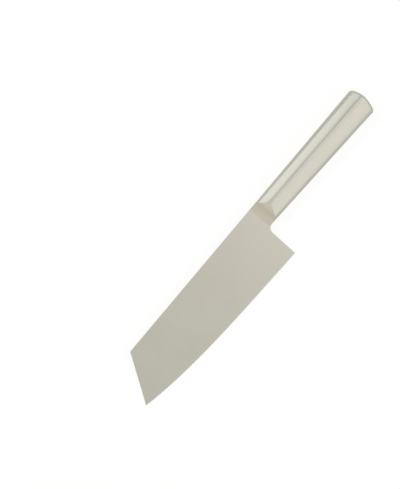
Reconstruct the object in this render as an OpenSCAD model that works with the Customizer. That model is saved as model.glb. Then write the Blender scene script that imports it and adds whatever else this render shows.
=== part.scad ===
// Kitchen knife with a clipped point and a hollow steel handle, lying on its side as on a table.
// Each piece is drawn with the heel corner at x = 0, the spine along y = 0 and the blade's middle
// plane at z = 0. X runs from the point to the butt, Y from the edge to the spine, and Z is up.

/* [Blade] */
// Length from the point to the heel
blade_l = 190; // [150:1:240]
// Depth from the spine to the heel corner
blade_h = 56.3; // [46:0.1:68]
// How far the spine's front corner lies behind the point
clip_l = 27.7; // [16:0.1:44]
// Rise of the cutting edge's straight run, from heel to point
edge_lift = 5.5; // [3:0.1:9]
// Further rise of the edge's belly, up to the point
belly_rise = 8.8; // [5:0.1:12]
// Thickness of the spine above the heel
spine_t = 2.2; // [1.8:0.1:3]
// Thickness behind the cutting bevel, at the heel and at the point
land_t = 0.45; // [0.3:0.05:0.7]
// Slope of each cutting bevel, in degrees
bevel_angle = 16; // [12:1:22]
// How far the heel edge leans back, where it meets the handle
choil_lean = 1.3; // [0:0.1:4]
// Radius of the fillet between the heel edge and the handle
choil_r = 5.5; // [3:0.1:8]

/* [Handle] */
// Length from the heel to the outermost point of the butt
handle_l = 146; // [120:0.1:180]
// Depth of the handle in line with the heel
handle_front_h = 23.3; // [20:0.1:28]
// Depth of the handle at the butt
handle_butt_h = 28.5; // [24:0.1:34]
// Thickness across the ridges in line with the heel, before they are rounded
handle_front_t = 16; // [13:0.1:19]
// Thickness across the ridges at the butt, before they are rounded
handle_butt_t = 19.4; // [16:0.1:23]
// Distance of the ridges below the spine, in line with the heel
ridge_front_drop = 9.9; // [8:0.1:12]
// Distance of the ridges below the spine, at the butt
ridge_butt_drop = 10.9; // [9:0.1:14]
// Thickness of the narrow sides along the spine and the belly, before they are rounded
side_t = 6.6; // [5.5:0.1:8]
// Radius on each ridge
ridge_r = 3.6; // [2.5:0.1:5]
// Radius on the four long corners of the handle
corner_r = 4.5; // [2.4:0.1:4.6]
// Thickness of the shells' sheet
shell_wall = 1.2; // [0.8:0.1:1.6]

/* [Bolster] */
// Where the scoop leaves the blade's flat, behind the heel
scoop_start = 2.7; // [2:0.1:4]
// Radius of the scoop on each side
scoop_r = 17; // [14:0.1:19]
// Slope of the straight flank in which the scoop runs out on the handle, in degrees
scoop_slope = 31; // [28:1:36]
// How deep the scoop bites into the blade's flat
scoop_bite = 0.05; // [0.03:0.01:0.1]
// Where the blade's root ends and the bolster begins, behind the heel
root_l = 9; // [8:0.1:12]
// Length of the bolster that shows
bolster_l = 13; // [13:0.1:18]
// Length of the collar that the shells slide over
spigot_l = 8; // [5:0.1:12]

/* [Tang] */
// Height of the tang
tang_h = 12; // [9:0.1:15]
// Thickness of the tang
tang_t = 2; // [1.5:0.1:2.5]
// Distance from the spine to the tang's upper edge
tang_drop = 5.6; // [5:0.1:7]
// How far the tang stands out behind the balance weight
tang_tail = 2; // [0.5:0.1:10]

/* [Butt cap] */
// Length of the cap that shows
cap_l = 7; // [7:0.1:10]
// How far the middle of the bowed end stands out beyond its upper and lower ends
bow_rise = 3; // [0.8:0.1:3.6]
// How much farther the cap's end reaches along the spine than along the belly
butt_lean = 1.2; // [0:0.1:2]
// Radius round the rim of the cap
rim_r = 1.6; // [0.8:0.1:2]
// Thickness of the cap and of its collar
cap_wall = 1.5; // [1:0.1:2]
// Length of the cap's collar inside the shells
cap_collar_l = 6; // [4:0.1:10]

/* [Balance weight] */
// Length of the slug
weight_l = 30; // [20:1:40]
// Gap between the bolster's collar and the slug
weight_gap = 3; // [1:0.1:8]
// Diameter of the cross pins
pin_d = 3; // [2:0.1:4]
// Distance between the two pins
pin_spacing = 16; // [10:0.1:18]
// How far the pins' ends lie below the slug's surface
pin_recess = 0.5; // [0.2:0.1:1]

/* [Fits] */
// Clearance round each collar and the slug, inside the shells
collar_gap = 0.1; // [0.05:0.01:0.2]
// Clearance round the tang in its slots
tang_gap = 0.05; // [0.03:0.01:0.15]
// Clearance round the cross pins
pin_gap = 0.03; // [0.02:0.01:0.1]

/* [Hidden] */
steel = [0.72, 0.71, 0.66];
satin = [0.85, 0.84, 0.79];
dark_steel = [0.45, 0.46, 0.48];

// Depth of the point below the spine
point_drop = blade_h - edge_lift - belly_rise;
// Where the bolster ends and the shells begin
seam_x = root_l + bolster_l;
// Where the shells end and the cap begins
cap_x = handle_l - cap_l;
// Where the slug begins
weight_x = seam_x + spigot_l + weight_gap;
// Where the tang ends
tang_end_x = weight_x + weight_l + tang_tail;

// Slopes of the blade's left face, which passes through the spine, the heel and the point
face_drop = (spine_t - land_t) / 2 / blade_h;
face_taper = ((spine_t - land_t) / 2 - face_drop * point_drop) / blade_l;
face_roll = atan(face_taper);
face_tilt = atan(face_drop * cos(face_roll));

// How many straight steps stand for each curve
edge_steps = 24;
corner_steps = 6;
rim_steps = 4;
bow_steps = 6;
fillet_steps = 12;
handle_steps = 8;
// The least step along the handle, as a share of its length
least_step_share = 0.02;
// The last ring on the cap's end, as a share of the first
bow_middle_share = 0.12;
// The least radius of an inner corner, as a share of the outer one
least_r_share = 0.2;
// The most of half a narrow side that the rounding of a long corner may take
corner_reach_share = 0.98;
// How far the edge's curve is carried on past the heel and past the point
edge_over_shares = [-0.04, 1.04];
// How far cuts run on past what they cut
over = spine_t;
// Half-size of the blocks that the blade's faces are cut from
stock = blade_l + handle_l;

// Unit vector along v
function unit(v) = v / norm(v);

// Depth of the handle, half its thickness at the ridge and the ridge's drop, at x behind the heel
function depth_at(x) = handle_front_h + (handle_butt_h - handle_front_h) * x / handle_l;
function crest_at(x) = (handle_front_t + (handle_butt_t - handle_front_t) * x / handle_l) / 2;
function ridge_at(x) = ridge_front_drop + (ridge_butt_drop - ridge_front_drop) * x / handle_l;

// The six corners of the handle's section at x, and their radii
function section_corners(x) = [
    [0, -side_t / 2],
    [0, side_t / 2],
    [-ridge_at(x), crest_at(x)],
    [-depth_at(x), side_t / 2],
    [-depth_at(x), -side_t / 2],
    [-ridge_at(x), -crest_at(x)]
];
is_ridge = [false, false, true, false, false, true];

// A corner v between its neighbours a and b, moved in by the same distance from both its sides
function moved_in(a, v, b, inset) =
    let (before = unit(v - a))
    let (after = unit(b - v))
    let (sum = [-before.y - after.y, before.x + after.x])
    v + sum * inset / (1 + before * after);

// Half the angle at the corner v between a and b
function half_angle(a, v, b) = acos(unit(a - v) * unit(b - v)) / 2;

// The centre of the arc of radius r that rounds the corner v between a and b
function arc_centre(a, v, b, r) = v + unit(unit(a - v) + unit(b - v)) * r / sin(half_angle(a, v, b));

// The points of that arc
function rounded(a, v, b, r, steps) =
    let (half = half_angle(a, v, b))
    let (centre = arc_centre(a, v, b, r))
    let (first = v + unit(a - v) * r / tan(half) - centre)
    let (start = atan2(first.y, first.x))
    [for (i = [0 : steps]) centre + r * [cos(start + (180 - 2 * half) * i / steps),
                                         sin(start + (180 - 2 * half) * i / steps)]];

// The radius on the corner v between a and b; a long corner's is limited by its narrow side
function section_radius(a, v, b, on_ridge) =
    on_ridge ? ridge_r : min(corner_r, corner_reach_share * side_t / 2 * tan(half_angle(a, v, b)));

// The handle's outline at x, moved in by inset all round, as points of y and z
function section(x, inset) =
    let (outer = section_corners(x))
    let (n = len(outer))
    let (inner = [for (i = [0 : n - 1]) moved_in(outer[(i + n - 1) % n], outer[i], outer[(i + 1) % n], inset)])
    [for (i = [0 : n - 1])
        let (before = (i + n - 1) % n)
        let (after = (i + 1) % n)
        let (r = section_radius(outer[before], outer[i], outer[after], is_ridge[i]))
        each rounded(inner[before], inner[i], inner[after], max(r - inset, r * least_r_share), corner_steps)];

// A ring of the handle's outline at x
function ring(x, inset) = [for (p = section(x, inset)) [x, p.x, p.y]];

// A closed solid through rings that each run the same way round; its two halves are cut alike
module loft(rings) {
    n = len(rings[0]);
    last = len(rings) - 1;
    sides = [for (k = [0 : last - 1], i = [0 : n - 1])
        let (a = k * n + i)
        let (b = k * n + (i + 1) % n)
        each 2 * i < n - 1 ? [[a, a + n, b + n], [a, b + n, b]] : [[a, a + n, b], [a + n, b + n, b]]];
    front = [for (i = [0 : n - 1]) i];
    back = [for (i = [0 : n - 1]) last * n + n - 1 - i];
    polyhedron([for (r = rings) each r], concat([front, back], sides));
}

// Where the handle's rings stand between x = a and x = b
function stations(a, b) =
    let (step = handle_l * least_step_share)
    let (all = [for (i = [1 : handle_steps]) handle_l * i / handle_steps])
    [a, for (x = all) if (x > a + step && x < b - step) x, b];

// The handle's body from x = a to x = b, moved in by inset all round
module handle_body(a, b, inset) {
    loft([for (x = stations(a, b)) ring(x, inset)]);
}

// Height of the cutting edge below the spine, at a share of the way from heel to point
function edge_drop(share) = blade_h - edge_lift * share - belly_rise * pow(share, 4);

// Everything on the blade's side of the two cutting bevels
module above_bevels() {
    run = spine_t / tan(bevel_angle);
    wide = run + blade_h;
    profile = [[0, 0], [run, -spine_t], [wide, -spine_t], [wide, spine_t], [run, spine_t]];
    shares = [for (i = [0 : edge_steps])
        edge_over_shares[1] + (edge_over_shares[0] - edge_over_shares[1]) * i / edge_steps];
    loft([for (s = shares) [for (p = profile) [-blade_l * s, p.x - edge_drop(s), p.y]]]);
}

// The blade's outline, which runs on below the cutting edge
module blade_outline() {
    neck = [choil_lean, -depth_at(choil_lean)];
    heel_corner = [-choil_lean * over / (blade_h + neck.y), -blade_h - over];
    clip_slope = clip_l / point_drop;
    fillet = rounded([root_l, -depth_at(root_l)], neck, [0, -blade_h], choil_r, fillet_steps);
    polygon(concat(
        [[clip_l - blade_l, 0]],
        [[-blade_l - clip_slope * over, -point_drop - over]],
        [[-blade_l, -blade_h - over]],
        [heel_corner],
        [for (i = [fillet_steps : -1 : 0]) fillet[i]],
        [[root_l, -depth_at(root_l)], [root_l, 0]]
    ));
}

// All that lies under the blade's left face
module under_face() {
    translate([0, 0, spine_t / 2])
        rotate([face_tilt, -face_roll, 0])
            translate([-stock, -stock, -stock])
                cube([2 * stock, 2 * stock, stock]);
}

// The cutter of the left side's scoop: a round wheel, which then runs out up the flank
module scoop_cutter() {
    width = handle_front_h + 2 * over + choil_r;
    translate([0, 0, spine_t / 2])
        rotate([face_tilt, -face_roll, 0])
            translate([scoop_start, over, scoop_r - scoop_bite])
                rotate([90, 0, 0]) {
                    cylinder(h = width, r = scoop_r, $fn = 96);
                    rotate([0, 0, scoop_slope])
                        translate([0, -scoop_r, 0])
                            cube([scoop_r, 2 * scoop_r, width]);
                }
}

// What is left of children once both scoops are ground away
module scooped() {
    difference() {
        children();
        scoop_cutter();
        mirror([0, 0, 1]) scoop_cutter();
    }
}

// The tang between x = a and x = b, with a gap all round
module tang(a, b, gap) {
    translate([a, -tang_drop - tang_h - gap, -tang_t / 2 - gap])
        cube([b - a, tang_h + 2 * gap, tang_t + 2 * gap]);
}

// Places of the cross pins along the handle
function pin_places() = [for (side = [-1, 1]) weight_x + (weight_l + side * pin_spacing) / 2];

// Two round bars along Z through the tang's middle
module cross_bars(d, l) {
    for (x = pin_places())
        translate([x, -tang_drop - tang_h / 2, -l / 2])
            cylinder(h = l, d = d, $fn = 48);
}

// Forged blade with its thickened root, its cutting bevels and the tang
module blade() {
    color(steel) {
        scooped() {
            intersection() {
                translate([0, 0, -spine_t]) linear_extrude(2 * spine_t) blade_outline();
                under_face();
                mirror([0, 0, 1]) under_face();
                above_bevels();
            }
            handle_body(scoop_start, root_l, 0);
        }
        difference() {
            tang(root_l - over, tang_end_x, 0);
            cross_bars(pin_d + 2 * pin_gap, 2 * tang_t);
        }
    }
}

// Collar round the tang: its front carries the scoop on, its back slides into the shells
module bolster() {
    color(steel) difference() {
        scooped() {
            handle_body(root_l, seam_x, 0);
            handle_body(seam_x - over, seam_x + spigot_l, shell_wall + collar_gap);
        }
        tang(root_l - over, seam_x + spigot_l + over, tang_gap);
    }
}

// One hollow shell before it is cut into halves
module shell_tube() {
    difference() {
        handle_body(seam_x, cap_x, 0);
        handle_body(seam_x - over, cap_x + over, shell_wall);
    }
}

// Pressed half shell on the knife's left side, which faces up
module handle_shell_left() {
    color(satin) intersection() {
        shell_tube();
        translate([0, -stock / 2, 0]) cube(stock);
    }
}

// Pressed half shell on the knife's right side
module handle_shell_right() {
    color(satin) intersection() {
        shell_tube();
        translate([0, -stock / 2, -stock]) cube(stock);
    }
}

// The middle of the butt's depth
butt_middle = [0, -depth_at(handle_l) / 2, 0];

// A ring near the butt, bowed and leaned as the cap's end is
function bowed(points) =
    [for (p = points)
        let (share = 2 * (p.y - butt_middle.y) / handle_butt_h)
        p + [butt_lean * share / 2 - bow_rise * share * share, 0, 0]];

// Rings that close a bowed end at x from the ring edge inwards; the last one is flat
function bowed_end(edge, x) =
    [for (i = [1 : bow_steps])
        let (share = 1 + (bow_middle_share - 1) * i / bow_steps)
        let (inner = [for (p = edge) [x, 0, 0] + butt_middle + share * ([0, p.y, p.z] - butt_middle)])
        i < bow_steps ? bowed(inner) : inner];

// Cap pressed from sheet, with a bowed end and a collar inside the shells
module butt_cap() {
    rim = [for (i = [0 : rim_steps])
        let (turn = 90 * i / rim_steps)
        ring(handle_l - rim_r * (1 - sin(turn)), rim_r * (1 - cos(turn)))];
    collar_inset = shell_wall + collar_gap;
    hollow_edge = ring(handle_l - cap_wall, collar_inset + cap_wall);
    color(satin) difference() {
        union() {
            loft(concat(
                [ring(cap_x, 0)],
                [for (r = rim) bowed(r)],
                bowed_end(rim[rim_steps], handle_l)
            ));
            handle_body(cap_x - cap_collar_l, cap_x + over, collar_inset);
        }
        loft(concat(
            [ring(cap_x - cap_collar_l - over, collar_inset + cap_wall), bowed(hollow_edge)],
            bowed_end(hollow_edge, handle_l - cap_wall)
        ));
    }
}

// Steel slug on the tang, which fills the shells behind the bolster's collar
module balance_weight() {
    color(dark_steel) difference() {
        handle_body(weight_x, weight_x + weight_l, shell_wall + collar_gap);
        tang(weight_x - over, weight_x + weight_l + over, tang_gap);
        cross_bars(pin_d + 2 * pin_gap, handle_butt_t);
    }
}

// Pins that lock the slug to the tang
module tang_pins() {
    facet_h = depth_at(weight_x) - ridge_at(weight_x);
    facet_rise = crest_at(weight_x) - side_t / 2;
    pin_foot = tang_drop + (tang_h + pin_d) / 2 - ridge_at(weight_x);
    shell_half_t = crest_at(weight_x) - facet_rise * pin_foot / facet_h;
    slug_half_t = shell_half_t - (shell_wall + collar_gap) / cos(atan(facet_rise / facet_h));
    color(dark_steel) cross_bars(pin_d, 2 * (slug_half_t - pin_recess));
}

// The middle of the right side's ridge rounding at x
function ridge_centre(x) =
    let (c = section_corners(x))
    let (p = arc_centre(c[4], c[5], c[0], ridge_r))
    [x, p.x, p.y];

// The cutting edge at a share of the way from heel to point
function edge_point(share) = [-blade_l * share, -edge_drop(share), 0];

// The foot of the right side's bevel there, where it meets the blade's flat
function bevel_foot(share) =
    let (p = edge_point(share))
    let (half_t = spine_t / 2 + face_taper * p.x + face_drop * p.y)
    p + half_t * [0, 1 / tan(bevel_angle), -1];

// The upright of the plane that touches the right ridge along its length and the bevel at a share
function table_upright(share) =
    let (along = unit(ridge_centre(cap_x) - ridge_centre(seam_x)))
    let (reach = ridge_centre(seam_x) - bevel_foot(share))
    let (across = reach - (reach * along) * along)
    let (dip = asin(ridge_r / norm(across)))
    unit(across) * sin(dip) + cross(along, unit(across)) * cos(dip);

// The knife lies on the right ridge and on the spot of the bevel that meets the table first
edge_shares = [for (i = [0 : 2 * edge_steps]) i / (2 * edge_steps)];
steepness = [for (s = edge_shares) table_upright(s).z];
upright = table_upright(edge_shares[search(max(steepness), steepness)[0]]);
rest_roll = atan2(upright.y, upright.z);
rest_pitch = -atan2(upright.x, norm([upright.y, upright.z]));

// A point of the knife after it is laid down, before it is moved over the origin
function laid_point(p) =
    let (y = p.y * cos(rest_roll) - p.z * sin(rest_roll))
    let (z = p.y * sin(rest_roll) + p.z * cos(rest_roll))
    [p.x * cos(rest_pitch) + z * sin(rest_pitch), y, z * cos(rest_pitch) - p.x * sin(rest_pitch)];

// Extremes of the knife as it lies
point_end = laid_point(edge_point(1));
butt_end = laid_point([handle_l, 0, 0] + butt_middle);
heel_side = laid_point(edge_point(0));
spine_y = max([for (p = ring(cap_x, 0)) laid_point(p).y]);
table_z = laid_point(ridge_centre(seam_x)).z - ridge_r;

// Lays the knife on its right side, with the middle of its bounding box over the origin
module laid() {
    translate([-(point_end.x + butt_end.x) / 2, -(heel_side.y + spine_y) / 2, -table_z])
        rotate([rest_roll, rest_pitch, 0])
            children();
}

laid() blade();
laid() bolster();
laid() handle_shell_left();
laid() handle_shell_right();
laid() butt_cap();
laid() balance_weight();
laid() tang_pins();
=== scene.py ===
"""A kitchen knife with a clipped point and a hollow steel handle, lying on its right side on a table."""

from math import atan, cos, pi, radians, sin, tan

import bmesh
import bpy
from mathutils import Matrix, Vector


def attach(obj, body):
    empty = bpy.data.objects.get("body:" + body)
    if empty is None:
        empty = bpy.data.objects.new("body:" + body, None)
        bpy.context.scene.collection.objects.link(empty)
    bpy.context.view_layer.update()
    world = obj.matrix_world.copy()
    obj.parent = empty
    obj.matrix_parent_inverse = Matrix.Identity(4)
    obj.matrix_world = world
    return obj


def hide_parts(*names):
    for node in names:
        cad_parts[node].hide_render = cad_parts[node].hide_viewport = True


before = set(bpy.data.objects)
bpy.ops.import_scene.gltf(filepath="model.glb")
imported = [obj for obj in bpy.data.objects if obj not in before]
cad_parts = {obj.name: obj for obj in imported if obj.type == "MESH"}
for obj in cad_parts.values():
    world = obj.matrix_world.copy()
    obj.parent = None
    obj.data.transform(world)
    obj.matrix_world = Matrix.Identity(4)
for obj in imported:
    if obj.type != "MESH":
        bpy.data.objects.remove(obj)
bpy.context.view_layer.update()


# Blade: one piece of hardened stainless steel, forged and then belt ground thinner towards the edge
# and the point. Its root is thick, is hollowed by a wheel on both sides, and carries the tang.

# Every shape is made in millimetres from the heel: X runs to the butt, Y to the spine and Z up from
# the blade's middle plane. LAID then lays it on the table in metres, as the CAD model rests there on
# the handle's right ridge and the belly of the edge.
MM = 0.001
ROLL = radians(8.52576)
PITCH = radians(-0.698173)
SHIFT = Vector((21.9476, 27.7619, 9.16419))
LAID = (
    Matrix.Scale(MM, 4)
    @ Matrix.Translation(SHIFT)
    @ Matrix.Rotation(PITCH, 4, "Y")
    @ Matrix.Rotation(ROLL, 4, "X")
)
# Places closer than NEAR count as the same, and cutters and offcuts run SPARE past the cut
NEAR = 0.01
SPARE = 3
CUT_TOLERANCE = 1e-5
MERGE_DISTANCE = 1e-4

# The outline from the side. The edge lifts evenly by EDGE_LIFT and curves up by BELLY_RISE more at
# the point, the clip takes the spine's front corner off, and the heel leans back towards the handle.
BLADE_LENGTH = 190
BLADE_DEPTH = 56.3
EDGE_LIFT = 5.5
BELLY_RISE = 8.8
BELLY_STEPS = 32
POINT_DROP = BLADE_DEPTH - EDGE_LIFT - BELLY_RISE
CLIP_LENGTH = 27.7
HEEL_LEAN = 1.3
HEEL_FILLET = 5.5
FILLET_STEPS = 16
# The outline's next corner lies this many radii behind the fillet's own corner, clear of it
FILLET_MARGIN = 1.05
# The section. Both faces near the middle with these slopes towards the edge and towards the point,
# so 0.45 mm is left there to grind the bevels in. All edges but the cutting edge are eased.
SPINE_THICKNESS = 2.2
EDGE_SLOPE = 0.0155417
POINT_SLOPE = 0.00116972
BEVEL_ANGLE = radians(16)
EASED = 0.35
EASED_STEPS = 8
# The root fills the handle's section up to ROOT_END, and the plate is sunk into it by ROOT_SINK. The
# wheel bites into the plate at SCOOP_START, and its arc also runs a little way in front of that.
SCOOP_START = 2.7
ROOT_END = 9
ROOT_SINK = 1
SCOOP_RADIUS = 17
SCOOP_BITE = 0.02
SCOOP_SLOPE = radians(31)
SCOOP_STEPS = 40
LEAD_IN_STEPS = 12
# The tang is a flat bar with a hole for each of the slug's two pins
TANG_TOP = 5.6
TANG_HEIGHT = 12
TANG_THICKNESS = 2
TANG_END = 65
PIN_PLACES = (40, 56)
PIN_HOLE = 3.06
PIN_HOLE_STEPS = 32

# The handle, whose section the root already has: its narrow sides along the spine and the belly are
# SIDE_THICKNESS wide, and each pair of sizes below is the size at the heel and the size at the butt
HANDLE_LENGTH = 146
SIDE_THICKNESS = 6.6
DEPTHS = (23.3, 28.5)
RIDGE_DROPS = (9.9, 11.6)
THICKNESSES = (16, 19.3)
# How far each long corner's rounding reaches towards the spine and towards the belly
TOP_REACHES = (3.1, 2.5), (3.1, 4.2)
RIDGE_REACHES = (2.2, 1.3), (2.3, 2.3)
BELLY_REACHES = (2.9, 2.9), (3.2, 2.9)
CORNER_STEPS = 12
# How far each of the four sloping sides bulges in its middle
CROWN = 0.22
CROWN_STEPS = 3

# The four steels' places in the blade's and the bolster's material slots
ON_HANDLE, ON_EDGE, IN_SCOOP, ON_FLAT = range(4)
# The painted light and shade along the knife end within this length behind the heel
PAINTED_SHADING_LENGTH = 20
# A face with this much of its normal along Z is one of the plate's two faces
FACE_NORMAL = 0.9
# Edges sharper than SHARP are eased, and shading breaks at edges sharper than CREASE
SHARP = radians(60)
CREASE = radians(12)


def on_handle(pair, x):
    """A size of the handle that changes evenly from the heel to the butt."""
    return pair[0] + (pair[1] - pair[0]) * x / HANDLE_LENGTH


def grind(bm, point, normal, closed=True):
    """Takes away what lies on the normal's side of a plane, and returns the faces that close the cut."""
    cut = bmesh.ops.bisect_plane(
        bm, geom=bm.verts[:] + bm.edges[:] + bm.faces[:], dist=CUT_TOLERANCE,
        plane_co=point, plane_no=normal, clear_outer=True,
    )
    rim = [part for part in cut["geom_cut"] if isinstance(part, bmesh.types.BMEdge)]
    return bmesh.ops.edgeloop_fill(bm, edges=rim)["faces"] if closed and rim else []


def round_off(bm, edges, reach, segments):
    """Rounds edges off, as far as reach from each of them, and returns the new faces."""
    return bmesh.ops.bevel(
        bm, geom=edges, offset=reach, offset_type="OFFSET", segments=segments, profile=0.5,
        affect="EDGES", material=-1, clamp_overlap=False,
    )["faces"]


def push(bm, faces, along):
    """Extrudes faces and returns the new ones. Those that are left behind inside a solid go."""
    made = bmesh.ops.extrude_face_region(bm, geom=faces)["geom"]
    if any(len(edge.link_faces) > 2 for face in faces for edge in face.edges):
        bmesh.ops.delete(bm, geom=faces, context="FACES")
    verts = [part for part in made if isinstance(part, bmesh.types.BMVert)]
    bmesh.ops.translate(bm, vec=along, verts=verts)
    return [part for part in made if isinstance(part, bmesh.types.BMFace)]


def blank_object(bm, metals):
    """A passing object that holds a blank while it is cut."""
    mesh = bpy.data.meshes.new("blank")
    bmesh.ops.recalc_face_normals(bm, faces=bm.faces)
    bm.to_mesh(mesh)
    bm.free()
    for metal in metals:
        mesh.materials.append(metal)
    made = bpy.data.objects.new("blank", mesh)
    bpy.context.scene.collection.objects.link(made)
    return made


def cut_with(bm, cutter, metals, operation="DIFFERENCE"):
    """Cuts one solid out of another, or welds it on, and returns the result."""
    work, tool = blank_object(bm, metals), blank_object(cutter, metals)
    cut = work.modifiers.new("cut", "BOOLEAN")
    cut.object, cut.operation, cut.solver = tool, operation, "MANIFOLD"
    result = bmesh.new()
    result.from_object(work, bpy.context.evaluated_depsgraph_get())
    for used in (work, tool):
        bpy.data.meshes.remove(used.data)
    return result


def handle_blank(start, end):
    """The handle's body between two places: six sides, four of them crowned, with soft corners."""
    bm = bmesh.new()
    ends = []
    for x, top, ridge, belly in zip((0, HANDLE_LENGTH), TOP_REACHES, RIDGE_REACHES, BELLY_REACHES):
        side_z, ridge_z = SIDE_THICKNESS / 2, on_handle(THICKNESSES, x) / 2
        depth, drop = on_handle(DEPTHS, x), on_handle(RIDGE_DROPS, x)
        corners = [Vector((x, y, z)) for y, z in (
            (0, -side_z), (0, side_z), (-drop, ridge_z),
            (-depth, side_z), (-depth, -side_z), (-drop, -ridge_z),
        )]
        reaches = (top[::-1], top, ridge, belly, belly[::-1], ridge[::-1])
        crowned = []
        for first, last in zip(corners, corners[1:] + corners[:1]):
            outward = (last - first).cross(Vector((1, 0, 0))).normalized()
            for step in range(CROWN_STEPS if abs(first.z) != abs(last.z) else 1):
                share = step / CROWN_STEPS
                crowned.append(first.lerp(last, share) + outward * CROWN * 4 * share * (1 - share))
        outline = []
        for before, point, after in zip(crowned[-1:] + crowned[:-1], crowned, crowned[1:] + crowned[:1]):
            if point not in corners:
                outline.append(point)
                continue
            near, far = reaches[corners.index(point)]
            leave = point + (before - point).normalized() * near
            meet = point + (after - point).normalized() * far
            for step in range(CORNER_STEPS + 1):
                share = step / CORNER_STEPS
                outline.append(leave.lerp(point, share).lerp(point.lerp(meet, share), share))
        ends.append(bm.faces.new([bm.verts.new(point) for point in outline]))
    bmesh.ops.bridge_loops(bm, edges=[edge for face in ends for edge in face.edges])
    grind(bm, (start, 0, 0), (-1, 0, 0))
    grind(bm, (end, 0, 0), (1, 0, 0))
    return bm


def scoop_wheel(side):
    """What the wheel takes away on the left side (1) or the right side (-1): a hollow, then a flank."""
    bm = bmesh.new()
    turns = [SCOOP_SLOPE * step / SCOOP_STEPS for step in range(-LEAD_IN_STEPS, SCOOP_STEPS + 1)]
    profile = [(SCOOP_RADIUS * sin(turn), -SCOOP_RADIUS * cos(turn)) for turn in turns]
    flank_x = profile[-1][0] + SCOOP_RADIUS * cos(SCOOP_SLOPE)
    flank_z = profile[-1][1] + SCOOP_RADIUS * sin(SCOOP_SLOPE)
    profile += [(flank_x, flank_z), (flank_x, 0), (profile[0][0], 0)]
    on_face = (
        Matrix.Diagonal((1, 1, side, 1))
        @ Matrix.Translation((0, 0, SPINE_THICKNESS / 2))
        @ Matrix.Rotation(-atan(POINT_SLOPE), 4, "Y")
        @ Matrix.Rotation(atan(EDGE_SLOPE), 4, "X")
        @ Matrix.Translation((SCOOP_START, SPARE, SCOOP_RADIUS - SCOOP_BITE))
    )
    end = bm.faces.new([bm.verts.new((x, 0, z)) for x, z in profile])
    push(bm, [end], (0, -DEPTHS[0] - HEEL_FILLET - 2 * SPARE, 0))
    bmesh.ops.transform(bm, matrix=on_face, verts=bm.verts)
    for face in bm.faces:
        face.material_index = IN_SCOOP
    return bm


def tang_bar():
    """The flat bar of the tang, from inside the root to its end."""
    bm = bmesh.new()
    low = Vector((ROOT_END - SPARE, -TANG_TOP - TANG_HEIGHT, -TANG_THICKNESS / 2))
    high = Vector((TANG_END, -TANG_TOP, TANG_THICKNESS / 2))
    place = Matrix.Translation((low + high) / 2) @ Matrix.Diagonal((*(high - low), 1))
    bmesh.ops.create_cube(bm, size=1, matrix=place)
    return bm


def linear(hex_colour):
    """An sRGB hex colour as the linear colour that a shader takes."""
    parts = [int(hex_colour[i:i + 2], 16) / 255 for i in (1, 3, 5)]
    return [part / 12.92 if part <= 0.04045 else ((part + 0.055) / 1.055) ** 2.4 for part in parts] + [1]


def add_node(tree, kind, settings=(), links=()):
    """Adds a node, sets its inputs and its other values, and joins its inputs to other nodes."""
    node = tree.nodes.new("ShaderNode" + kind)
    for name, value in dict(settings).items():
        if isinstance(name, int) or name in node.inputs:
            node.inputs[name].default_value = value
        else:
            setattr(node, name, value)
    for name, source in dict(links).items():
        tree.links.new(source, node.inputs[name])
    return node


def abraded_steel(name, dark, light, roughness, lines, broad, depth, painted_shading=()):
    """Bare steel with the lines of an abrasive. lines is the size of one line along X, Y and Z, broad
    the size of the soft patches that handling leaves, and depth the lines' depth, in millimetres.
    painted_shading lists places behind the heel, with the light and shade painted into the colour there."""
    metal = bpy.data.materials.new(name)
    metal.use_nodes = True
    tree = metal.node_tree
    surface = tree.nodes["Principled BSDF"]
    surface.inputs["Metallic"].default_value = 1
    place = add_node(tree, "TexCoord").outputs["Object"]
    # From the table's metres back to the knife's own millimetres: the reverse of LAID
    laid = {"Location": SHIFT * MM, "Rotation": (ROLL, PITCH, 0), "Scale": (MM, MM, MM)}
    knife = add_node(tree, "Mapping", {"vector_type": "TEXTURE", **laid}, {"Vector": place}).outputs[0]
    # Real lines are only hundredths of a millimetre wide, so these are drawn coarser to show at all
    along = add_node(tree, "VectorMath", {"operation": "DIVIDE", 1: lines}, {0: knife}).outputs[0]
    scratch = add_node(
        tree, "TexNoise", {"Scale": 1, "Detail": 3, "Roughness": 0.6}, {"Vector": along},
    ).outputs["Fac"]
    patch = add_node(
        tree, "TexNoise", {"Scale": 1 / broad, "Detail": 2, "Roughness": 0.5}, {"Vector": knife},
    ).outputs["Fac"]
    both = add_node(tree, "Math", {"operation": "ADD"}, {0: scratch, 1: patch}).outputs[0]
    # Two noises together seldom leave this range, so it spans the colours and the roughness
    usual = {"From Min": 0.7, "From Max": 1.3}
    tone = add_node(tree, "MapRange", usual, {"Value": both}).outputs[0]
    sheen = add_node(
        tree, "MapRange", {**usual, "To Min": roughness[0], "To Max": roughness[1]}, {"Value": both},
    ).outputs[0]
    colour = add_node(
        tree, "Mix", {"data_type": "RGBA", 6: linear(dark), 7: linear(light)}, {0: tone},
    ).outputs[2]
    # Painted light and shade: a ramp along X, multiplied into the colour, lightens and darkens the hollow
    # in bands
    if painted_shading:
        x = add_node(tree, "SeparateXYZ", links={0: knife}).outputs["X"]
        along_scoop = add_node(tree, "MapRange", {"From Min": 0, "From Max": PAINTED_SHADING_LENGTH}, {"Value": x})
        ramp = add_node(tree, "ValToRGB", links={"Fac": along_scoop.outputs[0]})
        stops = ramp.color_ramp.elements
        stops.remove(stops[1])
        for stop, (behind, tint) in zip([stops[0]] + [stops.new(1) for _ in painted_shading[1:]], painted_shading):
            stop.position, stop.color = behind / PAINTED_SHADING_LENGTH, linear(tint)
        colour = add_node(
            tree, "Mix", {"data_type": "RGBA", "blend_type": "MULTIPLY", 0: 1},
            {6: colour, 7: ramp.outputs[0]},
        ).outputs[2]
    relief = add_node(
        tree, "Bump", {"Strength": 1, "Distance": depth * MM}, {"Height": scratch},
    ).outputs[0]
    tree.links.new(colour, surface.inputs["Base Color"])
    tree.links.new(sheen, surface.inputs["Roughness"])
    tree.links.new(relief, surface.inputs["Normal"])
    return metal


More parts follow.
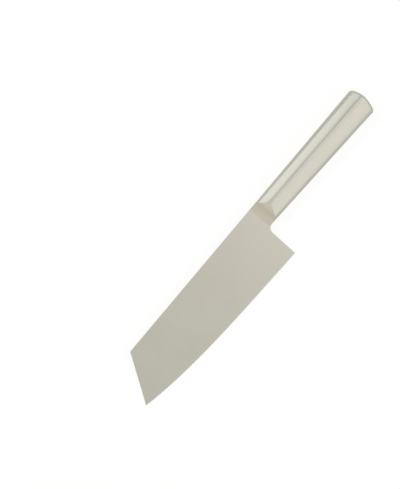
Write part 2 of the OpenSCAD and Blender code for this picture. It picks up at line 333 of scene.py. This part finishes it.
def set_down(bm, name, node, metals):
    """Lays a finished piece on the table, where it stands for its CAD node."""
    bmesh.ops.remove_doubles(bm, verts=bm.verts, dist=MERGE_DISTANCE)
    bmesh.ops.recalc_face_normals(bm, faces=bm.faces)
    many_sided = [face for face in bm.faces if len(face.verts) > 4]
    bmesh.ops.triangulate(bm, faces=many_sided, quad_method="BEAUTY", ngon_method="BEAUTY")
    bmesh.ops.transform(bm, matrix=LAID, verts=bm.verts)
    mesh = bpy.data.meshes.new(name)
    bm.to_mesh(mesh)
    bm.free()
    for metal in metals:
        mesh.materials.append(metal)
    mesh.shade_smooth()
    mesh.set_sharp_from_angle(angle=CREASE)
    piece = bpy.data.objects.new(name, mesh)
    bpy.context.scene.collection.objects.link(piece)
    flat_first = piece.modifiers.new("flat faces first", "WEIGHTED_NORMAL")
    flat_first.keep_sharp = True
    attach(piece, "root")
    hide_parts(node)


# The belt runs from spine to edge: fine lines that way give the flat its even, greyish satin
blade_steel = abraded_steel(
    "belt_ground_stainless", "#B4B1A5", "#BAB7AC", roughness=(0.30, 0.36),
    lines=(0.7, 22, 22), broad=45, depth=0.004,
)
# The bevels are honed on a finer stone, and the other edges are eased by hand: smoother. Their lighter,
# bluer colour is partly a painted highlight, the bright line that the eased edges catch
edge_steel_and_highlight = abraded_steel(
    "honed_stainless_and_highlight", "#B4B5B1", "#BEBFBB", roughness=(0.20, 0.26),
    lines=(9, 0.5, 0.5), broad=45, depth=0.001,
)
# The wheel leaves its lines along the knife. The hollow's lighter and darker bands along its length are
# painted light and shade, standing in for what its curved slopes reflect
HOLLOW_PAINTED_SHADING = ((3.1, "#F3F3F1"), (8.5, "#FBF9F0"), (12.1, "#F1EEE3"), (15.7, "#FFFFFF"))
scoop_steel = abraded_steel(
    "wheel_ground_stainless_painted_shading", "#C0BCB0", "#C6C2B6", roughness=(0.30, 0.38),
    lines=(14, 0.7, 0.7), broad=20, depth=0.004, painted_shading=HOLLOW_PAINTED_SHADING,
)
# The handle is rubbed with a fine abrasive along its length: long lines and a soft silver sheen
handle_steel = abraded_steel(
    "brushed_stainless", "#B2B1A7", "#B9B8AF", roughness=(0.25, 0.31),
    lines=(30, 0.6, 0.6), broad=25, depth=0.003,
)
steels = (handle_steel, edge_steel_and_highlight, scoop_steel, blade_steel)

plate = bmesh.new()
clip_slope = CLIP_LENGTH / POINT_DROP
neck = Vector((HEEL_LEAN, -on_handle(DEPTHS, HEEL_LEAN), 0))
heel_overrun = HEEL_LEAN * SPARE / (BLADE_DEPTH + neck.y)
fillet_end = HEEL_LEAN + FILLET_MARGIN * HEEL_FILLET
outline = (
    (ROOT_END, -ROOT_SINK),
    (SCOOP_START + ROOT_SINK, 0),
    (CLIP_LENGTH - BLADE_LENGTH, 0),
    (-BLADE_LENGTH - clip_slope * SPARE, -POINT_DROP - SPARE),
    (-BLADE_LENGTH, -BLADE_DEPTH - SPARE),
    (-heel_overrun, -BLADE_DEPTH - SPARE),
    (neck.x, neck.y),
    (fillet_end, -on_handle(DEPTHS, fillet_end)),
    (ROOT_END, ROOT_SINK - on_handle(DEPTHS, ROOT_END)),
)
flat = plate.faces.new([plate.verts.new((x, y, -SPINE_THICKNESS)) for x, y in outline])
push(plate, [flat], (0, 0, 2 * SPINE_THICKNESS))
heel_edge = [
    edge for edge in plate.edges
    if all((vert.co.xy - neck.xy).length < NEAR for vert in edge.verts)
]
round_off(plate, heel_edge, HEEL_FILLET, FILLET_STEPS)
for side in (1, -1):
    grind(plate, (0, 0, side * SPINE_THICKNESS / 2), (-POINT_SLOPE, -EDGE_SLOPE, side))
for face in plate.faces:
    if abs(face.normal.z) > FACE_NORMAL:
        face.material_index = ON_FLAT
rims = [
    edge for edge in plate.edges
    if edge.is_manifold and edge.calc_face_angle(0) > SHARP
    and all(abs(vert.co.z) < SPINE_THICKNESS for vert in edge.verts)
    and any(abs(face.normal.z) > FACE_NORMAL for face in edge.link_faces)
    and any(vert.co.x < SCOOP_START for vert in edge.verts)
]
for face in round_off(plate, rims, EASED, EASED_STEPS):
    face.material_index = ON_EDGE
for step in range(BELLY_STEPS):
    shares = (step / BELLY_STEPS, (step + 1) / BELLY_STEPS)
    drops = [BLADE_DEPTH - EDGE_LIFT * share - BELLY_RISE * share ** 4 for share in shares]
    slope = (drops[1] - drops[0]) / (-BLADE_LENGTH / BELLY_STEPS)
    for side in (1, -1):
        for face in grind(
            plate, (-BLADE_LENGTH * shares[0], -drops[0], 0),
            (-slope * tan(BEVEL_ANGLE), -tan(BEVEL_ANGLE), side),
        ):
            face.material_index = ON_EDGE
blade = cut_with(plate, handle_blank(SCOOP_START, ROOT_END), steels, "UNION")
for side in (1, -1):
    blade = cut_with(blade, scoop_wheel(side), steels)
blade = cut_with(blade, tang_bar(), steels, "UNION")
for x in PIN_PLACES:
    drill = bmesh.new()
    bmesh.ops.create_cone(
        drill, cap_ends=True, segments=PIN_HOLE_STEPS, radius1=PIN_HOLE / 2, radius2=PIN_HOLE / 2,
        depth=TANG_THICKNESS + 2 * SPARE,
        matrix=Matrix.Translation((x, -TANG_TOP - TANG_HEIGHT / 2, 0)),
    )
    blade = cut_with(blade, drill, steels)
set_down(blade, "ground_blade", "blade", steels)


# Bolster: a cast stainless collar welded behind the blade's root. The scoop runs on through it, and
# a spigot on its back slides into the handle's shells. All its outside is ground with the handle.
BOLSTER_END = 22
SPIGOT_LENGTH = 8
SHEET = 1.2
FIT = 0.1
# Where the scoop runs out on the handle's flanks its rim is eased. These edges are sharper than
# RIM_CREASE, and lie farther than RIM_FOOT from the middle plane.
RIM_CREASE = radians(20)
RIM_FOOT = 4.6
RIM_STEPS = 6

bolster = handle_blank(ROOT_END, BOLSTER_END)
back = [face for face in bolster.faces if face.calc_center_median().x > BOLSTER_END - NEAR]
bmesh.ops.inset_region(bolster, faces=back, thickness=SHEET + FIT, use_even_offset=True)
push(bolster, back, (SPIGOT_LENGTH, 0, 0))
for side in (1, -1):
    bolster = cut_with(bolster, scoop_wheel(side), steels)
scoop_rims = [
    edge for edge in bolster.edges
    if edge.is_manifold and edge.calc_face_angle(0) > RIM_CREASE
    and sum(face.material_index == IN_SCOOP for face in edge.link_faces) == 1
    and all(vert.co.x > ROOT_END and abs(vert.co.z) > RIM_FOOT for vert in edge.verts)
]
round_off(bolster, scoop_rims, EASED, RIM_STEPS)
bolster = cut_with(bolster, tang_bar(), steels)
set_down(bolster, "ground_bolster", "bolster", steels)


# Balance weight and its two pins: a turned steel slug locked on the tang inside the handle, where
# nothing of it shows. Their CAD shapes are right, so they only get their steel.

# Turned mild steel: darker and greyer than the stainless outside, with the tool's rings round it
slug_steel = abraded_steel(
    "turned_mild_steel", "#8E8F91", "#9C9D9F", roughness=(0.35, 0.45),
    lines=(2, 12, 12), broad=15, depth=0.01,
)
for name in ("balance_weight", "tang_pins"):
    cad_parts[name].data.materials.clear()
    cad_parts[name].data.materials.append(slug_steel)


# Handle shells: two halves pressed from 1.2 mm stainless sheet, which meet along the spine and the
# belly. The seams are welded and ground flush, so the outside is one smooth skin.
CAP_START = 139

for name, node, side in (
    ("left_shell", "handle_shell_left", 1),
    ("right_shell", "handle_shell_right", -1),
):
    shell = handle_blank(BOLSTER_END - SPARE, CAP_START + SPARE)
    grind(shell, (BOLSTER_END, 0, 0), (-1, 0, 0), closed=False)
    grind(shell, (CAP_START, 0, 0), (1, 0, 0), closed=False)
    grind(shell, (0, 0, 0), (0, 0, -side), closed=False)
    bmesh.ops.recalc_face_normals(shell, faces=shell.faces)
    bmesh.ops.solidify(shell, geom=shell.faces[:], thickness=SHEET)
    set_down(shell, name, node, (handle_steel,))


# Butt cap: a shallow cup pressed from stainless sheet. Its end is bowed from spine to belly and has
# a small rounded rim. Its collar slides into the shells and the joint is ground flush.
COLLAR_LENGTH = 6
CAP_SHEET = 1.5
CAP_RIM_RADIUS = 2.1
CAP_RIM_STEPS = 8
# The bowed end is made of END_STEPS rings, which shrink by END_SHRINK of their size in all
END_STEPS = 10
END_SHRINK = 0.92
# The end's middle stands out by BOW_RISE, and its spine side by BUTT_LEAN more than its belly side
BOW_RISE = 3
BUTT_LEAN = 1.2


def corners_of(faces):
    """The points of some faces, each of them once."""
    return list({vert for face in faces for vert in face.verts})


rim_start = HANDLE_LENGTH - CAP_RIM_RADIUS
cap = handle_blank(CAP_START, rim_start)
end = [face for face in cap.faces if face.calc_center_median().x > rim_start - NEAR]
front = [face for face in cap.faces if face.calc_center_median().x < CAP_START + NEAR]
for step in range(CAP_RIM_STEPS):
    turns = (pi / 2 * step / CAP_RIM_STEPS, pi / 2 * (step + 1) / CAP_RIM_STEPS)
    bmesh.ops.inset_region(
        cap, faces=end, thickness=CAP_RIM_RADIUS * (cos(turns[0]) - cos(turns[1])),
        depth=CAP_RIM_RADIUS * (sin(turns[1]) - sin(turns[0])), use_even_offset=True,
    )
middle = Vector((0, -on_handle(DEPTHS, HANDLE_LENGTH) / 2, 0))
for step in range(END_STEPS):
    sizes = [1 - END_SHRINK * (step + i) / END_STEPS for i in (0, 1)]
    end = push(cap, end, (0, 0, 0))
    bmesh.ops.scale(
        cap, vec=(1, sizes[1] / sizes[0], sizes[1] / sizes[0]), space=Matrix.Translation(-middle),
        verts=corners_of(end),
    )
for vert in cap.verts:
    if vert.co.x > rim_start - NEAR:
        # From -1 at the belly to 1 at the spine
        share = 2 * (vert.co.y - middle.y) / DEPTHS[1]
        vert.co.x += BUTT_LEAN * share / 2 - BOW_RISE * share ** 2
bmesh.ops.inset_region(cap, faces=front, thickness=SHEET + FIT, use_even_offset=True)
front = push(cap, front, (-COLLAR_LENGTH, 0, 0))
narrowing = on_handle(DEPTHS, CAP_START - COLLAR_LENGTH) / on_handle(DEPTHS, CAP_START)
bmesh.ops.scale(cap, vec=(1, narrowing, narrowing), verts=corners_of(front))
bmesh.ops.inset_region(cap, faces=front, thickness=CAP_SHEET, use_even_offset=True)
hollow_end = HANDLE_LENGTH - BOW_RISE - BUTT_LEAN / 2 - CAP_SHEET
push(cap, front, (COLLAR_LENGTH + hollow_end - CAP_START, 0, 0))
set_down(cap, "bowed_cap", "butt_cap", (handle_steel,))


# Table: a plain sheet of pale card, 40 metres wide so that its ends never show. The camera and the
# steel see it as white with the knife's soft shadow on it.
TABLE_REACH = 20
# A glow on top of the card's own lit grey, so that it is seen as white
CARD_GLOW = 0.7


def seen(tree):
    """Gives 1 to the camera and to the steel's reflections, and 0 to the light that falls on things."""
    path = add_node(tree, "LightPath")
    return add_node(
        tree, "Math", {"operation": "MAXIMUM"},
        {0: path.outputs["Is Camera Ray"], 1: path.outputs["Is Glossy Ray"]},
    ).outputs[0]


# Matt white card: no gloss at all, so only the shadow is drawn on it
card = bpy.data.materials.new("matt_white_card")
card.use_nodes = True
tree = card.node_tree
matt = tree.nodes["Principled BSDF"]
matt.inputs["Base Color"].default_value = linear("#E6E6E6")
matt.inputs["Roughness"].default_value = 1
matt.inputs["Specular IOR Level"].default_value = 0
strength = add_node(tree, "Math", {"operation": "MULTIPLY", 1: CARD_GLOW}, {0: seen(tree)})
glow = add_node(tree, "Emission", {"Color": (1, 1, 1, 1)}, {"Strength": strength.outputs[0]})
lit = add_node(tree, "AddShader", links={0: matt.outputs[0], 1: glow.outputs[0]})
tree.links.new(lit.outputs[0], tree.nodes["Material Output"].inputs["Surface"])

sheet = bmesh.new()
bmesh.ops.create_grid(sheet, x_segments=1, y_segments=1, size=TABLE_REACH)
table_mesh = bpy.data.meshes.new("table")
sheet.to_mesh(table_mesh)
sheet.free()
table_mesh.materials.append(card)
table = bpy.data.objects.new("table", table_mesh)
bpy.context.scene.collection.objects.link(table)


# Light: a white studio all round, and three soft panels. Two long ones stand on the knife's two
# sides and brighten the handle's facets. One hangs over the butt and gives the flat its soft tones.
STUDIO_LIGHT = 0.3
# A panel with this many watts to the square metre is as bright as a surface of strength 1
FULL_BRIGHTNESS = 4
# Each panel's name, place and size in metres, brightness and colour
PANELS = (
    ("spine_side_panel", (-0.10, 0.65, 0.66), (0.9, 0.18), 0.88, "#FFFEF8"),
    ("edge_side_panel", (0.12, -0.71, 0.62), (0.9, 0.20), 0.62, "#FFF6EC"),
    ("butt_side_panel", (0.27, -0.42, 1.39), (0.40, 0.62), 0.55, "#FFFFFB"),
)

scene = bpy.context.scene
scene.world = bpy.data.worlds.new("white_studio")
scene.world.use_nodes = True
tree = scene.world.node_tree
level = add_node(tree, "MapRange", {"To Min": STUDIO_LIGHT, "To Max": 1}, {"Value": seen(tree)})
tree.links.new(level.outputs[0], tree.nodes["Background"].inputs["Strength"])
tree.nodes["Background"].inputs["Color"].default_value = (1, 1, 1, 1)
for name, place, size, brightness, tint in PANELS:
    lamp = bpy.data.lights.new(name, "AREA")
    lamp.shape, lamp.size, lamp.size_y = "RECTANGLE", size[0], size[1]
    lamp.energy = brightness * FULL_BRIGHTNESS * size[0] * size[1]
    lamp.color = linear(tint)[:3]
    stand = bpy.data.objects.new(name, lamp)
    stand.location = place
    stand.rotation_euler = (-Vector(place)).to_track_quat("-Z", "Y").to_euler()
    scene.collection.objects.link(stand)


# Camera: square on to the blade, as in the photograph, with the point at the lower left. It looks
# at AIM in the blade's plane, and the picture is VIEW_HEIGHT high there.
AIM = (-48.84, 13.86)
DISTANCE = 1200
VIEW_HEIGHT = 437.4
TILT = radians(49.92)

lens = bpy.data.cameras.new("camera")
lens.lens = lens.sensor_width * DISTANCE / VIEW_HEIGHT
camera = bpy.data.objects.new("camera", lens)
turned = LAID @ Matrix.Translation((*AIM, DISTANCE)) @ Matrix.Rotation(-TILT, 4, "Z")
upright = turned.to_quaternion().to_matrix().to_4x4()
camera.matrix_world = Matrix.Translation(turned.to_translation()) @ upright
scene.collection.objects.link(camera)
scene.camera = camera
scene.view_settings.view_transform = "Standard"
